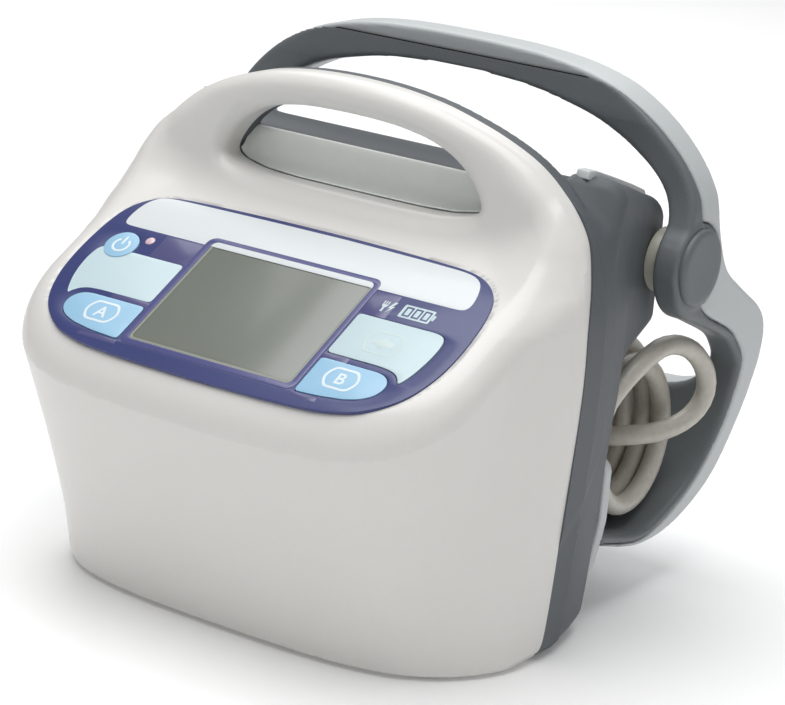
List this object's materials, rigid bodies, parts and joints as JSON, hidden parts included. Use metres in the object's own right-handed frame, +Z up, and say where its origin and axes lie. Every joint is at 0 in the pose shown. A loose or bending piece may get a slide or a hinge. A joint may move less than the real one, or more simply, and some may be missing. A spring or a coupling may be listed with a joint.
{
  "type": "compression therapy pump",
  "caption": "Portable compression therapy pump with sloping key panel, display, carrying handle, sprung bed hook at the back and a mains lead stored in it.",
  "frame": {"origin": "centre of the bounding box at table height, with the lead and its plug left out", "axes": "+X to the object's left-hand side seen from the back (the right in a front view), +Y from the key panel to the hook at the back, +Z up from the feet"},
  "size_m": [0.1958, 0.1996, 0.183],
  "materials": {
    "white_shell": "satin moulded",
    "dark_shell": "fine satin texture",
    "grey_plastic": "satin moulded",
    "liner_gloss": "gloss moulded",
    "panel_blue": "printed label film",
    "frame_olive": "printed film border",
    "display_glass": "satin display cover",
    "lcd": "unlit display",
    "tint_window": "tinted window film",
    "led": "translucent lens",
    "board": "circuit board",
    "silicone": "silicone",
    "black_plastic": "moulded",
    "pump_metal": "die-cast",
    "black_rubber": "matt rubber",
    "ivory_plastic": "bearing plastic",
    "battery_wrap": "shrink wrap",
    "supply_metal": "folded sheet",
    "port_plastic": "moulded socket",
    "steel": "machined",
    "cord_sheath": "smooth flexible sheath",
    "plug_body": "moulded flexible plug",
    "brass_pins": "plated contacts",
    "key_blue": "printed key film",
    "key_pale": "printed key film"
  },
  "bodies": {
    "case": {"front_housing": "white_shell", "rear_housing": "dark_shell", "grip_liner": "liner_gloss", "rear_pad": "grey_plastic", "shoulder_trim": "grey_plastic", "shoulder_cover": "grey_plastic", "panel_overlay": "panel_blue", "display_frame": "frame_olive", "display_window": "display_glass", "lcd_module": "lcd", "status_window_left": "tint_window", "status_window_right": "tint_window", "power_led": "led", "main_board": "board", "key_domes": "silicone", "buzzer": "black_plastic", "air_pump": "pump_metal", "pump_mounts": "black_rubber", "valve_manifold": "ivory_plastic", "solenoid_valves": "black_plastic", "air_hoses": "silicone", "battery_pack": "battery_wrap", "battery_door": "dark_shell", "power_supply": "supply_metal", "tubing_port_a": "port_plastic", "tubing_port_b": "port_plastic", "cord_gland": "cord_sheath", "feet": "black_rubber", "housing_screws": "steel", "pivot_pins": "steel", "pivot_bushings": "ivory_plastic", "torsion_springs": "steel", "cord_lead": "cord_sheath", "cord_coil": "cord_sheath", "cord_tail": "cord_sheath", "power_plug": "plug_body", "plug_pins": "brass_pins"},
    "hook": {"hook_frame": "grey_plastic", "hook_liner": "dark_shell", "pivot_cap_left": "dark_shell", "pivot_cap_right": "dark_shell"},
    "key_power": {"key_power": "key_blue"},
    "key_a": {"key_a": "key_blue"},
    "key_b": {"key_b": "key_blue"},
    "key_mode": {"key_mode": "key_pale"}
  },
  "joints": [
    {"name": "hook_pivot", "type": "hinge", "parent": "case", "child": "hook", "pos_m": [0, 0.04326, 0.1205], "axis": [1, 0, 0], "range_deg": [0, 12], "stiffness_Nm_per_rad": 1.8, "springref_deg": -25.78},
    {"name": "key_power_press", "type": "slide", "parent": "case", "child": "key_power", "axis": [0, 0.5015, -0.8652], "range_m": [0, 0.0006], "stiffness_N_per_m": 1500, "springref_m": -0.0006},
    {"name": "key_a_press", "type": "slide", "parent": "case", "child": "key_a", "axis": [0, 0.5015, -0.8652], "range_m": [0, 0.0006], "stiffness_N_per_m": 1500, "springref_m": -0.0006},
    {"name": "key_b_press", "type": "slide", "parent": "case", "child": "key_b", "axis": [0, 0.5015, -0.8652], "range_m": [0, 0.0006], "stiffness_N_per_m": 1500, "springref_m": -0.0006},
    {"name": "key_mode_press", "type": "slide", "parent": "case", "child": "key_mode", "axis": [0, 0.5015, -0.8652], "range_m": [0, 0.0006], "stiffness_N_per_m": 1500, "springref_m": -0.0006}
  ]
}
